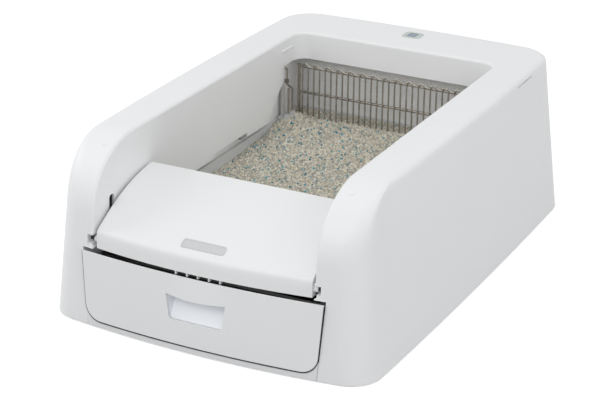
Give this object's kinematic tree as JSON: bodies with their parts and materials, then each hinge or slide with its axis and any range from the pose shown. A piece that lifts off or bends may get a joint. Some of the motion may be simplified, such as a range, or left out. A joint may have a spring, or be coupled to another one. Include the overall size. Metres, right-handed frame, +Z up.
{
  "type": "automatic raking litter box",
  "caption": "Automatic raking cat litter box with an open-topped white housing, a belt-drawn wire rake, a hinged hood and a front waste drawer.",
  "frame": {"origin": "on the floor under the middle of the box's outline", "axes": "+Z up, the waste drawer faces -Y, +X to the right seen from the front"},
  "size_m": [0.4496, 0.6754, 0.2256],
  "materials": {
    "white_shell": "satin",
    "base_plastic": "satin",
    "tray_plastic": "satin",
    "litter": "matte",
    "baffle_plastic": "satin",
    "hood_plastic": "satin",
    "steel_wire": "polished",
    "bright_steel": "polished",
    "badge_silver": "satin",
    "drawer_plastic": "satin",
    "cup_plastic": "gloss",
    "bin_plastic": "satin",
    "dark_plastic": "matte",
    "carriage_grey": "satin",
    "belt_rubber": "matte",
    "foot_rubber": "matte",
    "pulley_plastic": "satin",
    "bush_bronze": "satin",
    "motor_metal": "satin",
    "bezel_plastic": "satin",
    "button_plastic": "gloss",
    "board_green": "satin",
    "jack_black": "satin"
  },
  "bodies": {
    "frame": {"upper_housing": "white_shell", "hole_plugs": "white_shell", "base_chassis": "base_plastic", "drawer_runner_left": "base_plastic", "drawer_runner_right": "base_plastic", "litter_tray": "tray_plastic", "litter_bed": "litter", "rear_liner": "baffle_plastic", "guide_rod_left": "bright_steel", "guide_rod_right": "bright_steel", "idler_pin_left": "bright_steel", "idler_pin_right": "bright_steel", "housing_screws": "bright_steel", "tray_latch_left": "dark_plastic", "tray_latch_right": "dark_plastic", "tact_switch": "dark_plastic", "limit_switch_front": "dark_plastic", "limit_switch_rear": "dark_plastic", "drive_belt_left": "belt_rubber", "drive_belt_right": "belt_rubber", "rubber_feet": "foot_rubber", "shaft_bushes": "bush_bronze", "gearmotor": "motor_metal", "motor_bracket": "motor_metal", "button_bezel": "bezel_plastic", "control_board": "board_green", "dc_jack": "jack_black"},
    "drawer": {"drawer_front": "drawer_plastic", "handle_cup": "cup_plastic", "drawer_bin": "bin_plastic", "bag_clamp_frame": "bin_plastic"},
    "hood": {"waste_hood": "hood_plastic", "hood_hinge_pins": "dark_plastic", "badge_plate": "badge_silver"},
    "rake": {"rake_top_bar": "steel_wire", "rake_mid_bar": "steel_wire", "rake_end_posts": "steel_wire", "rake_tines": "steel_wire", "rake_hook_left": "steel_wire", "rake_hook_right": "steel_wire", "rake_side_wire_left": "steel_wire", "rake_side_wire_right": "steel_wire", "lift_pad_left": "dark_plastic", "lift_pad_right": "dark_plastic", "carriage_left": "carriage_grey", "carriage_right": "carriage_grey"},
    "cross_shaft": {"drive_shaft": "bright_steel", "drive_gear": "pulley_plastic", "drive_pulley_left": "pulley_plastic", "drive_pulley_right": "pulley_plastic"},
    "idler_left": {"idler_pulley_left": "pulley_plastic"},
    "idler_right": {"idler_pulley_right": "pulley_plastic"},
    "motor_shaft": {"motor_pinion": "pulley_plastic"},
    "button": {"control_button": "button_plastic"}
  },
  "joints": [
    {"name": "drawer_slide", "type": "slide", "parent": "frame", "child": "drawer", "axis": [0, -1, 0], "range_m": [0, 0.12]},
    {"name": "hood_hinge", "type": "hinge", "parent": "frame", "child": "hood", "pos_m": [0, -0.312, 0.112], "axis": [1, 0, 0], "range_deg": [0, 75]},
    {"name": "rake_slide", "type": "slide", "parent": "frame", "child": "rake", "axis": [0, -1, 0], "range_m": [0, 0.32], "deforming": ["litter_bed"]},
    {"name": "cross_shaft_turn", "type": "hinge", "parent": "frame", "child": "cross_shaft", "pos_m": [0, 0.292, 0.092], "axis": [1, 0, 0], "range_deg": [0, 1569]},
    {"name": "idler_left_turn", "type": "hinge", "parent": "frame", "child": "idler_left", "pos_m": [-0.19, -0.228, 0.092], "axis": [1, 0, 0], "range_deg": [0, 1569]},
    {"name": "idler_right_turn", "type": "hinge", "parent": "frame", "child": "idler_right", "pos_m": [0.19, -0.228, 0.092], "axis": [1, 0, 0], "range_deg": [0, 1569]},
    {"name": "pinion_turn", "type": "hinge", "parent": "frame", "child": "motor_shaft", "pos_m": [0, 0.292, 0.062], "axis": [1, 0, 0], "range_deg": [-4703, 0]},
    {"name": "button_press", "type": "slide", "parent": "frame", "child": "button", "axis": [0, 0, -1], "range_m": [0, 0.001], "stiffness_N_per_m": 400, "springref_m": -0.0004}
  ],
  "couplings": [
    {"joint": "cross_shaft_turn", "follows": "rake_slide", "rad_per_m": 85.47},
    {"joint": "idler_left_turn", "follows": "rake_slide", "rad_per_m": 85.47},
    {"joint": "idler_right_turn", "follows": "rake_slide", "rad_per_m": 85.47},
    {"joint": "pinion_turn", "follows": "rake_slide", "rad_per_m": -256.41}
  ]
}
